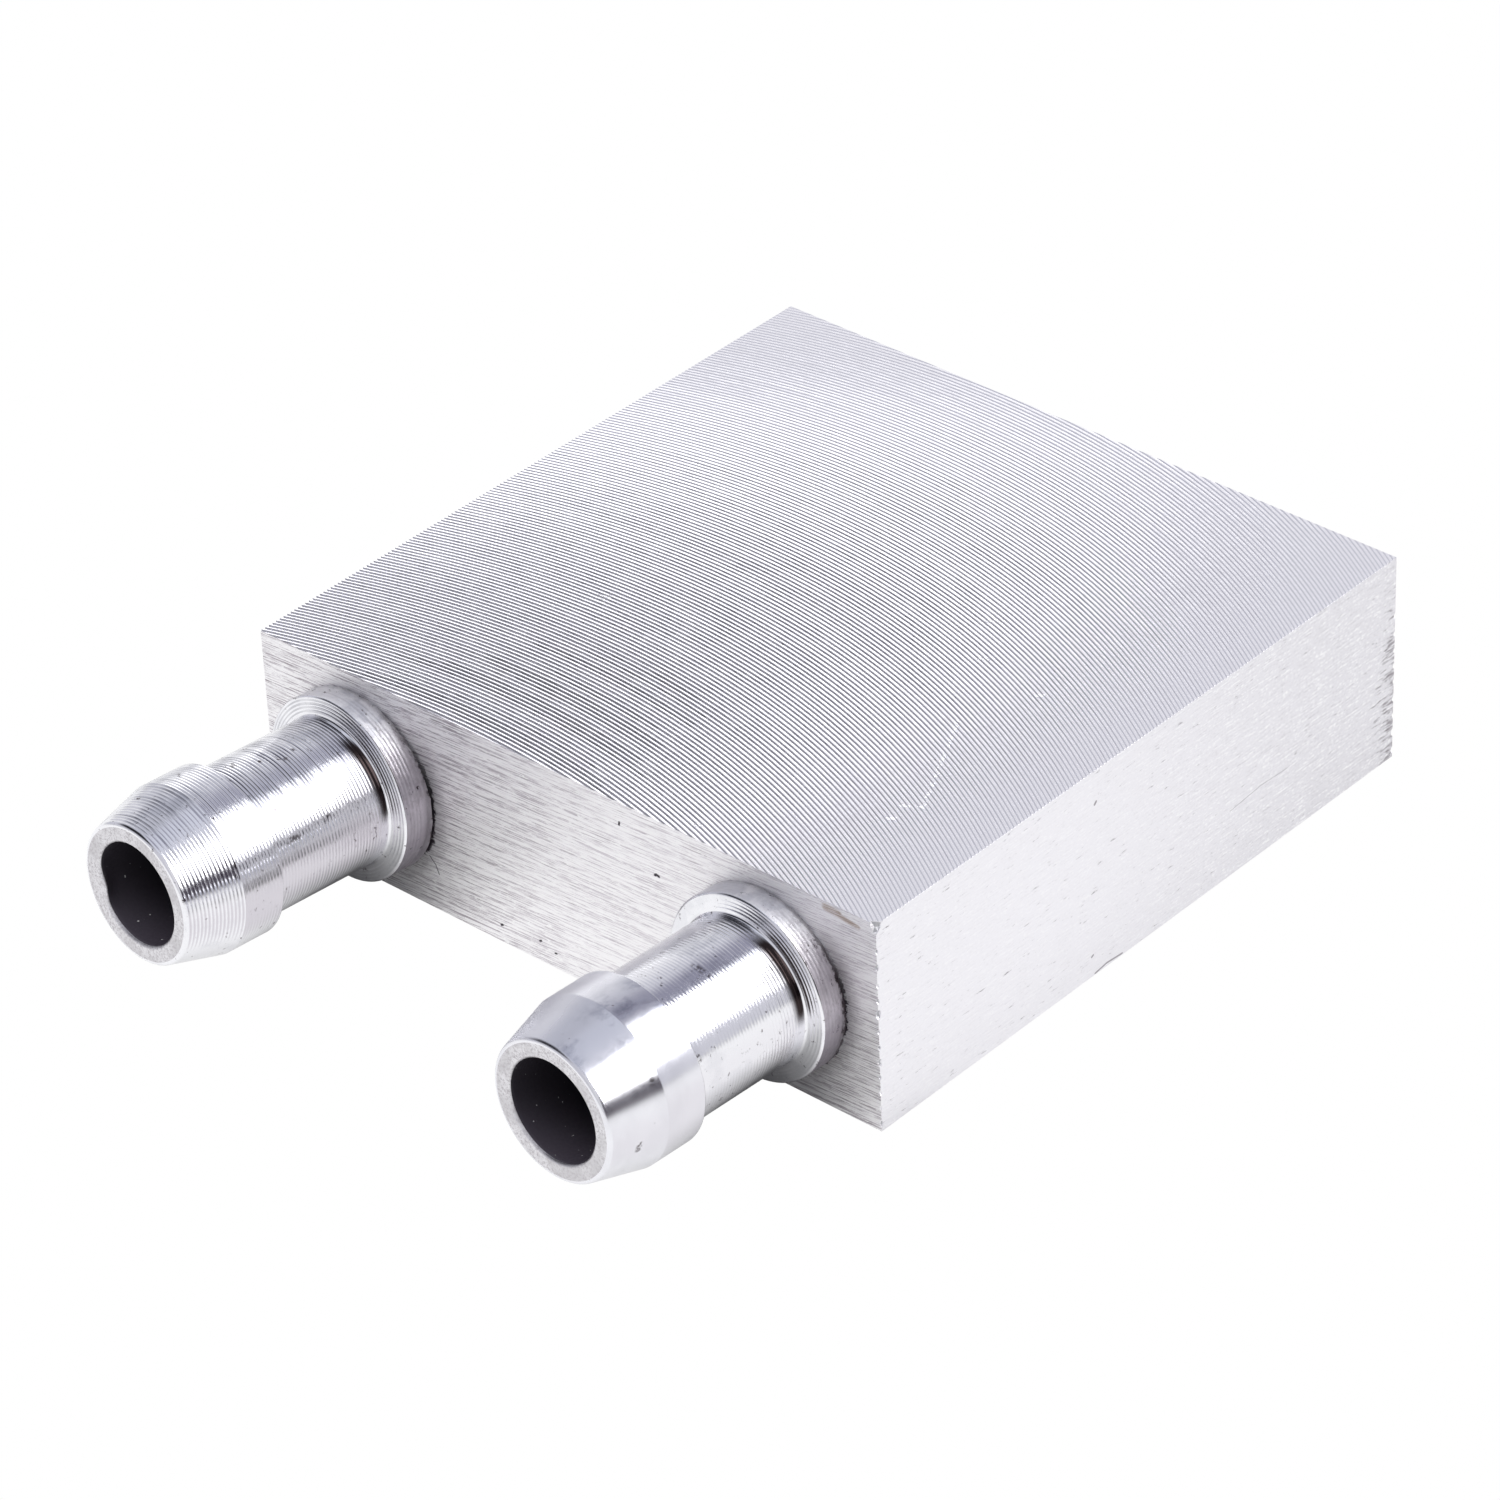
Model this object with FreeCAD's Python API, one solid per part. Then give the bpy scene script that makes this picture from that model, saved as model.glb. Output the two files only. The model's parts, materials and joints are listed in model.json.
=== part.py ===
import FreeCAD, Part
import math
import os

# Liquid cooling cold plate: a square aluminium block, milled from its underside into one
# winding coolant channel, closed by a cover plate, with two turned hose barbs in its front face.
# The frame's origin is the centre of the underside. +Z points up to the contact face and the
# barbs point towards -Y. Lengths are in millimetres and angles in degrees.

# Block
block_width = 40.0
block_depth = 40.0
block_height = 12.0
edge_break = 0.2

# Coolant channel: straight passes side by side, joined in turn at the back and at the front
pass_count = 4
side_wall = 3.0
front_wall = 5.0
back_wall = 3.0
contact_wall = 2.0
web_thickness = 2.0
turn_length = 7.0
cutter_radius = 3.0

# Cover plate, let into a seat round the channel so that it ends flush with the underside
cover_thickness = 2.0
cover_seat_width = 1.5
cover_clearance = 0.05
cover_seat_corner = 4.0

# Ports, one into each end of the channel. On the real plate they are slightly off true: the
# outlet stands a little to the left of its pass, and each barb leans left and up.
inlet_offset = 0.0
outlet_offset = -0.4
port_height = 6.0
inlet_lean_left = 4.0
inlet_lean_up = 2.0
outlet_lean_left = 2.0
outlet_lean_up = 1.0
flow_hole_radius = 3.0
port_extra_depth = 0.2
glue_gap = 0.05

# Hose barb, one turned piece: distances along it are counted from the back of its collar
bore_radius = 2.75
bore_break = 0.12
shank_radius = 3.6
shank_depth = 3.8
shank_lead = 0.3
collar_radius = 5.0
collar_thickness = 1.2
collar_bevel = 0.1
collar_slope = 0.1
root_fillet = 0.15
neck_radius = 4.0
neck_end = 8.5
bulb_radius = 4.55
shoulder_length = 0.2
land_length = 2.4
nose_length = 3.1
nose_radius = 3.8
nose_bevel = 0.2

# Sealing compound between collar and block: thinnest where the leaning collar comes nearest
seal_least = 0.1
seal_inset = 0.3

cut_overrun = 1.0


def vector(x, y, z):
    return FreeCAD.Vector(x, y, z)


def rounded_prism(low_x, high_x, low_y, high_y, low_z, high_z, corner):
    """Upright prism on a rectangle with round corners."""
    prism = Part.makeBox(high_x - low_x, high_y - low_y, high_z - low_z, vector(low_x, low_y, low_z))
    boxes = [(edge, edge.BoundBox) for edge in prism.Edges]
    upright = [edge for edge, box in boxes if box.ZLength > box.XLength + box.YLength]
    return prism.makeFillet(corner, upright)


def plain_block():
    block = Part.makeBox(
        block_width, block_depth, block_height, vector(-block_width / 2, -block_depth / 2, 0)
    )
    return block.makeChamfer(edge_break, block.Edges)


def pass_spans():
    """Low and high X of each pass, from left to right."""
    room = block_width - 2 * side_wall - (pass_count - 1) * web_thickness
    width = room / pass_count
    first = -block_width / 2 + side_wall
    return [
        (first + i * (width + web_thickness), first + i * (width + web_thickness) + width)
        for i in range(pass_count)
    ]


def channel():
    """The winding channel, cut from the underside up to the contact wall."""
    front = -block_depth / 2 + front_wall
    back = block_depth / 2 - back_wall
    roof = block_height - contact_wall
    spans = pass_spans()
    corner = min(cutter_radius, (spans[0][1] - spans[0][0]) / 2 * 0.95)
    pockets = [
        rounded_prism(low, high, front, back, -cut_overrun, roof, corner) for low, high in spans
    ]
    for i in range(pass_count - 1):
        if i % 2 == 0:
            ends = (back - turn_length, back)
        else:
            ends = (front, front + turn_length)
        turn = rounded_prism(spans[i][0], spans[i + 1][1], *ends, -cut_overrun, roof, corner)
        pockets.append(turn)
    return pockets[0].multiFuse(pockets[1:]).removeSplitter()


def cover_outline():
    """Low X, high X, low Y and high Y of the seat that the cover plate lies in."""
    return (
        -block_width / 2 + side_wall - cover_seat_width,
        block_width / 2 - side_wall + cover_seat_width,
        -block_depth / 2 + front_wall - cover_seat_width,
        block_depth / 2 - back_wall + cover_seat_width,
    )


def cover_seat():
    low_x, high_x, low_y, high_y = cover_outline()
    return rounded_prism(
        low_x, high_x, low_y, high_y, -cut_overrun, cover_thickness, cover_seat_corner
    )


def cover_plate():
    low_x, high_x, low_y, high_y = cover_outline()
    return rounded_prism(
        low_x + cover_clearance,
        high_x - cover_clearance,
        low_y + cover_clearance,
        high_y - cover_clearance,
        0,
        cover_thickness,
        cover_seat_corner - cover_clearance,
    )


def lean_direction(lean_left, lean_up):
    """Unit vector out along a barb that leans to the left and upwards."""
    left = math.radians(lean_left)
    up = math.radians(lean_up)
    return vector(-math.sin(left) * math.cos(up), -math.cos(left) * math.cos(up), math.sin(up))


def port_placement(port):
    """Takes +Z to the port's axis, and the origin to where that axis meets the front face."""
    x, lean_left, lean_up = port
    turn = FreeCAD.Rotation(vector(0, 0, 1), lean_direction(lean_left, lean_up))
    return FreeCAD.Placement(vector(x, -block_depth / 2, port_height), turn)


def collar_lift(port):
    """How far out along the port's axis the back of the collar lies."""
    out = lean_direction(port[1], port[2])
    slope = math.sqrt(1 - out.y ** 2)
    return (seal_least + collar_radius * slope) / abs(out.y)


def cylinder_along(port, radius, start, end):
    """Cylinder about the port's axis, from start to end along it."""
    shape = Part.makeCylinder(radius, end - start, vector(0, 0, start))
    shape.Placement = port_placement(port)
    return shape


def port_cut(port):
    """Stepped hole: a wide seat for the barb's shank and a flow hole into the channel."""
    seat_floor = collar_lift(port) - shank_depth - port_extra_depth
    seat = cylinder_along(port, shank_radius + glue_gap, seat_floor, cut_overrun)
    through = cylinder_along(port, flow_hole_radius, -front_wall - cut_overrun, cut_overrun)
    return seat.fuse(through)


def barb_profile():
    """Half section of the barb in the XZ plane: X is the radius, Z the distance along it."""
    root = collar_thickness + collar_slope
    bulb_start = neck_end + shoulder_length
    bulb_end = bulb_start + land_length
    tip = bulb_end + nose_length

    def point(radius, along):
        return vector(radius, 0, along)

    def line(start, end):
        return Part.LineSegment(start, end).toShape()

    fillet_start = point(neck_radius + root_fillet, root)
    fillet_end = point(neck_radius, root + root_fillet)
    fillet_dip = root_fillet * (1 - math.sqrt(0.5))
    fillet_middle = point(neck_radius + fillet_dip, root + fillet_dip)
    before_fillet = [
        point(bore_radius, -shank_depth),
        point(shank_radius - shank_lead, -shank_depth),
        point(shank_radius, -shank_depth + shank_lead),
        point(shank_radius, 0),
        point(collar_radius, 0),
        point(collar_radius, collar_thickness - collar_bevel),
        point(collar_radius - collar_bevel, collar_thickness),
        fillet_start,
    ]
    after_fillet = [
        fillet_end,
        point(neck_radius, neck_end),
        point(bulb_radius, bulb_start),
        point(bulb_radius, bulb_end),
        point(nose_radius, tip - nose_bevel),
        point(nose_radius - nose_bevel, tip),
        point(bore_radius + bore_break, tip),
        point(bore_radius, tip - bore_break),
        before_fillet[0],
    ]
    edges = [line(a, b) for a, b in zip(before_fillet, before_fillet[1:])]
    edges.append(Part.Arc(fillet_start, fillet_middle, fillet_end).toShape())
    edges += [line(a, b) for a, b in zip(after_fillet, after_fillet[1:])]
    return Part.Face(Part.Wire(edges))


def hose_barb(port):
    turned = barb_profile().revolve(vector(0, 0, 0), vector(0, 0, 1), 360)
    seated = FreeCAD.Placement(vector(0, 0, collar_lift(port)), FreeCAD.Rotation())
    turned.Placement = port_placement(port).multiply(seated)
    return turned


def seal_ring(port):
    """Wedge of compound that fills the space between the block's face and the collar."""
    lift = collar_lift(port)
    ring = cylinder_along(port, collar_radius - seal_inset, -cut_overrun, lift)
    hole = cylinder_along(port, shank_radius + glue_gap, -2 * cut_overrun, lift + cut_overrun)
    behind_face = Part.makeBox(
        block_width, block_depth, block_height, vector(-block_width / 2, -block_depth / 2, 0)
    )
    return ring.cut(hole).cut(behind_face)


def body(ports):
    shape = plain_block().cut(channel()).cut(cover_seat())
    for port in ports:
        shape = shape.cut(port_cut(port))
    return shape


def main():
    inlet_x = sum(pass_spans()[0]) / 2 + inlet_offset
    outlet_x = sum(pass_spans()[-1]) / 2 + outlet_offset
    inlet = (inlet_x, inlet_lean_left, inlet_lean_up)
    outlet = (outlet_x, outlet_lean_left, outlet_lean_up)
    nodes = {
        "channel_block": body([inlet, outlet]),
        "cover_plate": cover_plate(),
        "inlet_barb": hose_barb(inlet),
        "outlet_barb": hose_barb(outlet),
        "inlet_seal": seal_ring(inlet),
        "outlet_seal": seal_ring(outlet),
    }
    os.makedirs("parts", exist_ok=True)
    for name, shape in nodes.items():
        solid = shape.Solids[0]
        print(name, len(shape.Solids), "solid", round(solid.Volume, 2), "mm3", solid.isValid())
        solid.exportStep(os.path.join("parts", name + ".step"))


main()
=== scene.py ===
"""Looks of a liquid cooling cold plate: a fly-cut aluminium block with two turned hose barbs.

Everything is in metres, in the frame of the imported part: the block's underside lies on Z = 0, its
contact face looks up and the barbs point towards -Y. Lengths are written in millimetres times MM.
"""

import json
import math
import random

import bmesh
import bpy
from mathutils import Matrix, Vector


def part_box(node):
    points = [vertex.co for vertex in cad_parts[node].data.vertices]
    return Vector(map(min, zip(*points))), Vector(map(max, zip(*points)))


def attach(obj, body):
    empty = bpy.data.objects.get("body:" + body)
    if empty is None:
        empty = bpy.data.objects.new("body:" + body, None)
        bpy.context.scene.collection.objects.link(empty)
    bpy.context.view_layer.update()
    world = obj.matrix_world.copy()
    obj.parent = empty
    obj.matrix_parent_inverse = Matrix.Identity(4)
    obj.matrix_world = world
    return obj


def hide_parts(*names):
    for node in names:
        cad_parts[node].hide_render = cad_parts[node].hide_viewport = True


MM = 0.001

# Camera, standing where the photograph was taken from
CAMERA_PLACE = Vector((184.106, -206.076, 190.807)) * MM
CAMERA_AZIMUTH = math.radians(42.67)
CAMERA_ELEVATION = math.radians(34.23)
CAMERA_ROLL = math.radians(-2.40)
CAMERA_LENS = 159.11
CAMERA_SENSOR = 36.0
CAMERA_CLIP = (0.01, 5.0)

# Lights: azimuth and elevation in degrees, distance, width and height, and the brightness, which is
# 1 where a light looks as bright as the floor. It takes that many watts for each square metre
KEY_LIGHT = (123, 41.5, 0.6, 0.72, 0.44, 3.0)
FILL_LIGHT = (-10, 76, 0.6, 0.5, 0.5, 6.7)
LIGHT_TARGET = Vector((0, 0, 6 * MM))
WATTS_PER_AREA = 4

# Studio as the part mirrors it: its grey, then patches of its walls and ceiling, each with azimuth
# and elevation of the middle, angles from it at which the patch starts and ends to fade, colour
STUDIO_GREY = (0.62, 0.62, 0.68, 1)
STUDIO_PATCHES = (
    (-135, 12, 8, 34, (0.85, 0.85, 0.88)),
    (42, 28, 14, 32, (0.75, 0.75, 0.77)),
    (84, 4, 16, 34, (0.06, 0.05, 0.07)),
    (-60, 48, 20, 38, (0.02, 0.02, 0.025)),
    (-116, 53, 5, 26, (0.52, 0.53, 0.60)),
    (0, 88, 8, 30, (0.66, 0.68, 0.77)),
    (-178, 56, 6, 24, (0.27, 0.27, 0.35)),
    (-144, 2, 8, 19, (2.9, 2.9, 2.92)),
)

# Floor: half its size, how far it lies below the part, how bright the metal sees it, the share of
# that left under each collar and far away, half width and length of the shade under each collar,
# and where the paper starts and ends to grow darker
FLOOR_HALF = 4.0
FLOOR_DROP = 0.02 * MM
FLOOR_GLOW = 0.71
FLOOR_SHADED = 0.05
FLOOR_FAR = 0.65
FLOOR_SHADE = (9.5 * MM, 12 * MM)
FLOOR_FADE = (50 * MM, 300 * MM)

# Block: the edges of the real one are sharper than those of the CAD block
CAD_EDGE_BREAK = 0.2 * MM
EDGE_BREAK = 0.01 * MM
EDGE_TOLERANCE = 0.001 * MM
WELD_DISTANCE = 0.0005 * MM

# Which faces of the block get which material: a face counts as top or front within a skin of that
# depth and where its normal has that share upwards or forwards
TOP_SLOT, FRONT_SLOT, SIDE_SLOT, INSIDE_SLOT = range(4)
TOP_SKIN = 0.1 * MM
SIDE_SKIN = 0.05 * MM
LOOKS_UP = 0.9
LOOKS_FORWARD = 0.3

# How steeply the streaks of the linished front face rise to the right
BRUSHING_ANGLE = math.radians(2.5)

# Fly-cut contact face: the same arc stepped along Y by one pitch for each turn of the cutter
GROOVE_PITCH = 0.258 * MM
GROOVE_RADIUS = 47.0 * MM
GROOVE_CENTRE_X = -5.8 * MM
GROOVE_DEPTH = 0.061 * MM
GROOVE_PROFILE = ((0.0, 1.0), (0.1, 0.62), (0.2, 0.15), (0.28, 0.0), (0.5, 0.22), (0.8, 0.7))
GROOVE_UNEVEN = (0.93, 1.07)
GROOVE_COLUMNS = 34
GROOVE_SEED = 4
CREST_INSET = 0.002 * MM
CUTTER_OVERHANG = 0.6 * MM

# Where the cutter bit deepest, in millimetres: X of that line at the front, how far it drifts to the
# right by the back, how far the bite reaches to its right and left, and how much less far to the
# left at the back. Then the share of its depth that the bite loses by the back, and how late
BITE_FRONT_X = -3
BITE_DRIFT = 9
BITE_RIGHT = 20.5
BITE_LEFT = 40
BITE_LEFT_LOSS = 18
BITE_LOSS = 0.62
BITE_LOSS_POWER = 1.5

# Chipped edges: Y of the edge, how many chips, their lowest and highest Z, radius of the largest
CHIPPED_EDGES = (
    (-20 * MM, 12, 0 * MM, 10.8 * MM, 0.21 * MM),
    (-20 * MM, 1, 11.75 * MM, 12.25 * MM, 0.6 * MM),
    (20 * MM, 9, 0 * MM, 9.0 * MM, 0.24 * MM),
)

# How far chips stray from even spacing, the smallest as a share of the largest, how far their
# middles lie outside the edge in radii, how uneven they are, and how much taller than wide
CHIP_SEED = 9
CHIP_JITTER = 0.1
CHIP_SMALLEST = 0.45
CHIP_OUTWARDS = 0.05
CHIP_UNEVEN = (0.8, 1.1)
CHIP_STRETCH = 1.4

# Marks on the faces: the width of each and the points it runs through, in millimetres
TOP_NICKS = (
    (0.17, (-8.9, -7.2, 12), (-8.5, -7.0, 12)),
    (0.14, (-8.6, -7.3, 12), (-8.4, -7.5, 12)),
    (0.15, (7.7, 2.9, 12), (7.9, 3.1, 12)),
    (0.15, (9.5, 0.1, 12), (9.9, 0.3, 12)),
    (0.14, (13.8, -0.7, 12), (14.0, -0.5, 12)),
    (0.15, (14.9, -13.1, 12), (15.1, -12.9, 12)),
    (0.15, (8.1, -19.2, 12), (8.3, -19.0, 12)),
)
TOP_SCRATCH = (0.13, (12.2, -4.7, 12), (15.6, -11.4, 12), (14.7, -11.9, 12))
FRONT_PITS = (
    (0.10, (6.1, -20, 8.68), (6.2, -20, 8.75), (6.35, -20, 8.7)),
    (0.08, (3.9, -20, 10.65), (3.93, -20, 10.8)),
    (0.08, (-1.9, -20, 1.2), (-1.8, -20, 1.25)),
    (0.09, (-4.5, -20, 1.0), (-4.4, -20, 1.05)),
    (0.07, (-0.9, -20, 0.9), (-0.8, -20, 0.92)),
    (0.22, (-9.3, -20, 3.5), (-9.05, -20, 4.05), (-8.9, -20, 4.1)),
    (0.04, (-9.2, -20, 3.1), (-8.8, -20, 2.7), (-8.6, -20, 2.2)),
)
FRONT_SMEARS = (
    (0.30, (16.9, -20, 11.65), (17.7, -20, 11.6)),
    (0.20, (17.6, -20, 11.55), (18.9, -20, 11.35)),
)
SIDE_PITS = (
    (0.11, (20, -3.95, 10.05), (20, -3.85, 10.15)),
    (0.09, (20, -4.25, 1.2), (20, -4.15, 1.25)),
    (0.07, (20, -4.0, 0.08), (20, -3.1, 0.2), (20, -1.9, 0.1)),
    (0.025, (20, 6.6, 3.9), (20, 9.0, 4.1), (20, 11.2, 4.0)),
)

# Marks on the barbs: the width of each and the points it runs through, in millimetres. A point is
# the angle round the barb in degrees, 0 on its right and 90 on top, the distance from the back of
# its collar and the radius
BARB_MARKS = {
    "inlet": (
        (0.16, (97, 7.15, 4.0), (93, 7.25, 4.0)),
        (0.16, (75, 5.0, 4.0), (73, 5.05, 4.0)),
        (0.22, (45.4, 7.42, 4.0), (41.7, 7.22, 4.0)),
        (0.18, (20, 7.5, 4.0), (19.5, 6.9, 4.0)),
        (0.10, (20.8, 5.13, 4.0), (25.8, 4.58, 4.0)),
        (0.26, (25.4, 11.09, 4.55), (18.6, 11.17, 4.52)),
        (0.18, (-4.6, 2.36, 4.0), (-6, 2.4, 4.0)),
        (0.16, (-15, 8.1, 4.0), (-17, 8.1, 4.0)),
    ),
    "outlet": (
        (0.20, (76.2, 5.36, 4.0), (65.6, 5.3, 4.0)),
        (0.14, (22.6, 8.19, 4.0), (19.5, 8.16, 4.0)),
        (0.10, (22, 7.27, 4.0), (21.5, 7.1, 4.0)),
        (0.16, (27.7, 11.45, 4.45), (25.5, 11.5, 4.44)),
        (0.20, (-15.9, 12.69, 4.16), (-12, 12.6, 4.18)),
    ),
}
BARB_MARK_WIDENING = 1.25

# Turned barbs: distances along a barb are counted from the back of its collar
TURNED, BORE, COLLAR_SIDE, TIP_FACE, BULB = range(5)
COLLAR_RADIUS = 5.0 * MM
COLLAR_THICKNESS = 1.2 * MM
COLLAR_BEVEL = 0.1 * MM
COLLAR_SLOPE = 0.1 * MM
ROOT_FILLET = 0.15 * MM
NECK_RADIUS = 4.0 * MM
NECK_END = 8.5 * MM
SHOULDER_LENGTH = 0.2 * MM
LAND_LENGTH = 2.4 * MM
NOSE_LENGTH = 3.1 * MM
NOSE_RADIUS = 3.8 * MM
NOSE_ROUNDING = 0.24 * MM
NOSE_SLOPE = 12
ROUNDING_STEPS = 5
BORE_BREAK = 0.12 * MM
SHANK_RADIUS = 3.6 * MM
SHANK_DEPTH = 3.8 * MM
SHANK_LEAD = 0.3 * MM
TIP = NECK_END + SHOULDER_LENGTH + LAND_LENGTH + NOSE_LENGTH

# Back of a collar: the share of its distance from the block by which it is drawn out, how ragged it is
COLLAR_REACH = 0.68
COLLAR_RAGGED = 0.05 * MM
RAGGED_RANGE = (-0.6, 1.0)

# Turned rings: their depth on each barb's neck and bulb, where they start to fade (past the tip means
# never), how uneven they are, and the share of that depth on the collar and the tip, on the sides of
# a barb, how much more on its top, and once faded
INLET_SEED = 11
OUTLET_SEED = 12
INLET_RINGS = 0.024 * MM
INLET_BULB_RINGS = 0.02 * MM
OUTLET_RINGS = 0.014 * MM
OUTLET_BULB_RINGS = 0.0004 * MM
INLET_FADE_FROM = TIP * 2
OUTLET_FADE_FROM = 2.5 * MM
RING_PITCH = 0.2 * MM
RING_STEPS = 5
RING_SEGMENTS = 120
RING_FULL_DEPTH = 0.02 * MM
RING_UNEVEN = (0.82, 1.15)
RING_VARIETY = 90
RING_ON_COLLAR_FACE = 1.2
RING_ON_COLLAR_SIDE = 0.8
RING_ON_TIP = 0.1
RING_ON_SIDES = 0.68
RING_ON_TOP = 0.32
RING_FADED = 0.25

# Burr at the mouth of the inlet's bore: its angle round the bore (0 is right and 90 on top), how far
# it stands in, how deep it reaches and how wide it spreads
BURR_ANGLE = math.radians(190)
BURR_HEIGHT = 0.45 * MM
BURR_DEPTH = 1.2 * MM
BURR_STEPS = 6
BURR_SPREAD = math.radians(17)

# Directions that the materials look along, on the barbs and collars and for the painted shade beside them
UP = (0, 0, 1)
UPPER_RIGHT = (0.45, 0, 1)
ROOT_REFLECTION_SIDE = (0.79, 0, 0.61)
DARK_REFLECTION_SIDE = (0.87, 0, 0.5)
RIGHT = (1, 0, -0.1)
GAP_SHADOW_SIDE = (1, 0, -0.3)
LOWER_RIGHT = (1, 0, -1)
LEFT = (-1, 0, 0.2)
COLLAR_SHADE_SIDE = (0.97, 0, -0.25)

# Colours, as linear red, green, blue and alpha
WHITE = (1, 1, 1, 1)
PAPER = (0.15, 0.15, 0.15, 1)
FLY_CUT = (0.90, 0.89, 0.93, 1)
LINISHED_BRIGHT = (1.0, 0.99, 1.0, 1)
LINISHED_DULL = (0.87, 0.84, 0.88, 1)
LINISHED_COARSE = (0.44, 0.40, 0.44, 1)
LINISHED_SCORE = (0.30, 0.26, 0.28, 1)
BROWN_SMEAR = (0.45, 0.34, 0.27, 1)
PIT_AND_SHADE_BLACK = (0.05, 0.04, 0.05, 1)
SATIN_EVEN = (0.87, 0.86, 0.89, 1)
SATIN_SHADED_BACK = (0.77, 0.76, 0.79, 1)
SATIN_STREAK = (0.30, 0.28, 0.30, 1)
SATIN_TORN = (0.34, 0.32, 0.34, 1)
SATIN_PIT = (0.36, 0.34, 0.36, 1)
TURNED_BRIGHT = (0.90, 0.90, 0.93, 1)
TURNED_RING_SHADE = (0.12, 0.12, 0.16, 1)
SCUFF_AND_TOP_SHADE = (0.46, 0.47, 0.53, 1)
UNDERSIDE_SHADE = (0.62, 0.59, 0.64, 1)
SPECK = (0.12, 0.10, 0.11, 1)
ROOT_DARK_REFLECTION = (0.035, 0.026, 0.026, 1)
BARB_MARK = (0.15, 0.135, 0.14, 1)
BULB_DULL = (0.82, 0.82, 0.86, 1)
BULB_BRIGHT = (0.88, 0.88, 0.92, 1)
BULB_WORN_AND_SHADE = (0.42, 0.43, 0.50, 1)
BULB_SPECK = (0.30, 0.28, 0.30, 1)
COLLAR_BRIGHT = (1.0, 0.99, 1.0, 1)
COLLAR_RING_SHADE = (0.75, 0.73, 0.75, 1)
COLLAR_SHADED = (0.64, 0.61, 0.65, 1)
COLLAR_UNDER_SHADE = (0.28, 0.26, 0.29, 1)
COLLAR_BLOTCH = (0.40, 0.37, 0.40, 1)
COLLAR_DARK_REFLECTION = (0.2, 0.18, 0.2, 1)
COLLAR_GAP_SHADOW = (0.09, 0.07, 0.08, 1)
TIP_DULL = (0.66, 0.65, 0.67, 1)
TIP_BRIGHT = (0.84, 0.83, 0.85, 1)
TIP_PIT = (0.52, 0.50, 0.52, 1)
BORE_SHADE_BLACK = (0.028, 0.024, 0.032, 1)
BORE_DUST = (0.5, 0.5, 0.5, 1)
SEALANT = (0.03, 0.03, 0.032, 1)

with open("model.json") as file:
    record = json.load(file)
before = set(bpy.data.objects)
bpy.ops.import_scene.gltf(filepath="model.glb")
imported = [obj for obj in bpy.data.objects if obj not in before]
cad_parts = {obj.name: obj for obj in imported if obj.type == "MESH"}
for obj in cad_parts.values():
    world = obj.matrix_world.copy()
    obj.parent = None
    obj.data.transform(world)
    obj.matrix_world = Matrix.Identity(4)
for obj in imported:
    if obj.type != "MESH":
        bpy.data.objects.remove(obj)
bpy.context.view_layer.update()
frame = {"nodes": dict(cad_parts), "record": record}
mounts = {mount["name"]: mount for mount in frame["record"]["mounts"]}
block_low, block_high = (Vector(corner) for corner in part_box("channel_block"))


def new_object(name, mesh):
    piece = bpy.data.objects.new(name, mesh)
    bpy.context.collection.objects.link(piece)
    return piece


# Camera, lights and floor

def add_camera():
    camera = bpy.data.objects.new("camera", bpy.data.cameras.new("camera"))
    bpy.context.collection.objects.link(camera)
    camera.data.sensor_width = CAMERA_SENSOR
    camera.data.lens = CAMERA_LENS
    camera.data.clip_start, camera.data.clip_end = CAMERA_CLIP
    level = math.cos(CAMERA_ELEVATION)
    back = Vector((
        math.sin(CAMERA_AZIMUTH) * level,
        -math.cos(CAMERA_AZIMUTH) * level,
        math.sin(CAMERA_ELEVATION),
    ))
    turn = (-back).to_track_quat("-Z", "Y") @ Matrix.Rotation(CAMERA_ROLL, 3, "Z").to_quaternion()
    camera.rotation_mode = "QUATERNION"
    camera.rotation_quaternion = turn
    camera.location = CAMERA_PLACE
    bpy.context.scene.camera = camera


def direction(azimuth, elevation):
    """Unit vector towards a place around the part: azimuth 0 is in front of it, 90 on its right."""
    around = math.radians(azimuth)
    up = math.radians(elevation)
    return Vector((math.sin(around) * math.cos(up), -math.cos(around) * math.cos(up), math.sin(up)))


def add_softbox(name, azimuth, elevation, distance, width, height, brightness):
    """Area light that faces the part and that the camera doesn't see."""
    light = bpy.data.lights.new(name, "AREA")
    light.shape = "RECTANGLE"
    light.size = width
    light.size_y = height
    light.energy = brightness * WATTS_PER_AREA * width * height
    softbox = bpy.data.objects.new(name, light)
    bpy.context.collection.objects.link(softbox)
    aim = direction(azimuth, elevation)
    softbox.location = aim * distance + LIGHT_TARGET
    softbox.rotation_mode = "QUATERNION"
    softbox.rotation_quaternion = (-aim).to_track_quat("-Z", "Y")
    softbox.visible_camera = False
    return softbox


def add_lights():
    """The key is only mirrored by the metal. The fill and the studio light what is matt."""
    key = add_softbox("key", *KEY_LIGHT)
    key.visible_diffuse = False
    fill = add_softbox("fill", *FILL_LIGHT)
    fill.visible_glossy = False
    bpy.context.scene.view_settings.view_transform = "Standard"


def add_world():
    """Studio round the part: mid grey, with lighter and darker patches that fade out softly."""
    world = bpy.data.worlds.new("studio")
    bpy.context.scene.world = world
    world.use_nodes = True
    nodes = Nodes(world.node_tree)
    towards = nodes.add("ShaderNodeTexCoord").outputs["Generated"]
    colour = STUDIO_GREY
    for azimuth, elevation, inner, outer, patch in STUDIO_PATCHES:
        near = nodes.vector_maths("DOT_PRODUCT", towards, direction(azimuth, elevation))
        share = nodes.band(near, math.cos(math.radians(outer)), math.cos(math.radians(inner)))
        colour = nodes.mix(share, colour, (*patch, 1))
    nodes.set(world.node_tree.nodes["Background"], {"Color": colour})


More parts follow.
